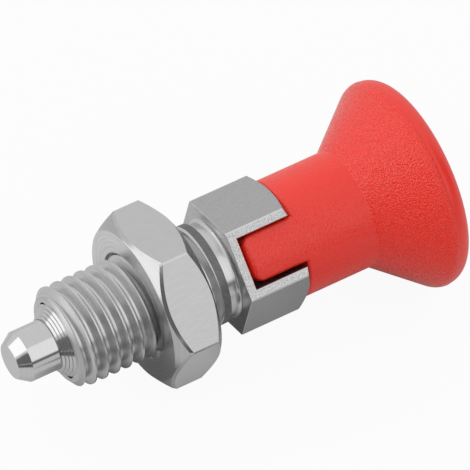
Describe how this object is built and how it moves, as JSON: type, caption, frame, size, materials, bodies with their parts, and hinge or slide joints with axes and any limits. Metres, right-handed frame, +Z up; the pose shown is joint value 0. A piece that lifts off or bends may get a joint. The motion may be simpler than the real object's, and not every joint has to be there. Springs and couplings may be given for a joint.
{
  "type": "indexing plunger",
  "caption": "Lockable indexing plunger with a round index pin, a threaded and notched hexagonal guide sleeve, a locknut and a red mushroom grip.",
  "frame": {"origin": "centre of the hexagon's shoulder, the annular face that a panel bears on", "axes": "+X along the plunger's axis from the shoulder towards the grip, so the index pin points to -X; +Z up"},
  "size_m": [0.0542, 0.0248, 0.0248],
  "materials": {
    "turned_steel": "turned and milled stainless steel",
    "bush_steel": "fine turned",
    "pin_steel": "ground",
    "spring_steel": "drawn wire",
    "red_plastic": "moulded with a fine grain",
    "nut_steel": "finely ground flats"
  },
  "bodies": {
    "sleeve": {"guide_sleeve": "turned_steel", "guide_bush": "bush_steel", "compression_spring": "spring_steel"},
    "plunger": {"index_pin": "pin_steel", "mushroom_grip": "red_plastic"},
    "nut": {"locknut": "nut_steel"}
  },
  "joints": [
    {"name": "plunger_pull", "type": "slide", "parent": "sleeve", "child": "plunger", "axis": [1, 0, 0], "range_m": [0, 0.0068], "stiffness_N_per_m": 1350, "springref_m": -0.004, "deforming": ["compression_spring"]},
    {"name": "locknut_travel", "type": "slide", "parent": "sleeve", "child": "nut", "axis": [1, 0, 0], "range_m": [-0.009, 0.0015]}
  ]
}
